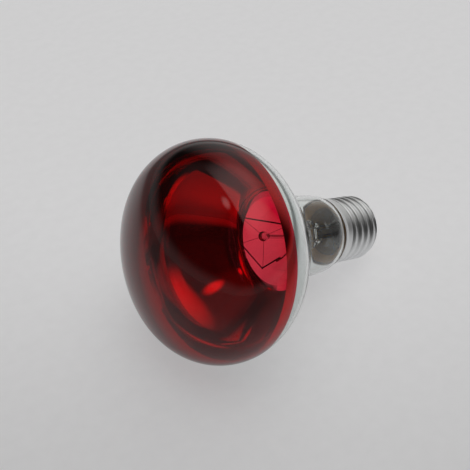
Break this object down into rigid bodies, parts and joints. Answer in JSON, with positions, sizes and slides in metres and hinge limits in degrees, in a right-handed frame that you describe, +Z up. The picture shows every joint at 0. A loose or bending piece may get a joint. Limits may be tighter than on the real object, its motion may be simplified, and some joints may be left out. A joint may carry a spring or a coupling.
{
  "type": "reflector bulb",
  "caption": "Mushroom-shaped reflector bulb with a red lacquered face, mirrored bowl, clear neck, coiled filament on thin wire supports and a metal screw cap, lying on its side.",
  "frame": {"origin": "on the floor, under the middle of the lamp's length and width as it lies", "axes": "+X level, from the dome's end towards the cap's end; +Z up; the lamp's own axis lies in the XZ plane and falls towards the cap"},
  "size_m": [0.1084, 0.0802, 0.0778],
  "materials": {
    "clear_glass": "polished clear soda-lime glass",
    "mirror_film": "aluminium film laid down from vapour",
    "red_lacquer": "transparent gloss lacquer",
    "cap_aluminium": "satin rolled sheet",
    "cement": "dull baked basing cement",
    "dark_glass": "opaque glossy dark glass",
    "contact_brass": "satin stamped sheet",
    "solder": "dull soft solder",
    "lead_wire": "drawn nickel-plated wire",
    "support_wire": "drawn molybdenum wire",
    "tungsten": "coiled tungsten wire"
  },
  "bodies": {
    "root": {"glass_envelope": "clear_glass", "mirror_coating": "mirror_film", "red_lacquer": "red_lacquer", "screw_shell": "cap_aluminium", "cap_cement": "cement", "insulator": "dark_glass", "centre_contact": "contact_brass", "contact_solder": "solder", "glass_stem": "clear_glass", "exhaust_tube": "clear_glass", "side_lead": "lead_wire", "centre_lead": "lead_wire", "side_solder": "solder", "mount_rod": "clear_glass", "support_wire_1": "support_wire", "support_wire_2": "support_wire", "support_wire_3": "support_wire", "support_wire_4": "support_wire", "filament": "tungsten"}
  },
  "joints": []
}
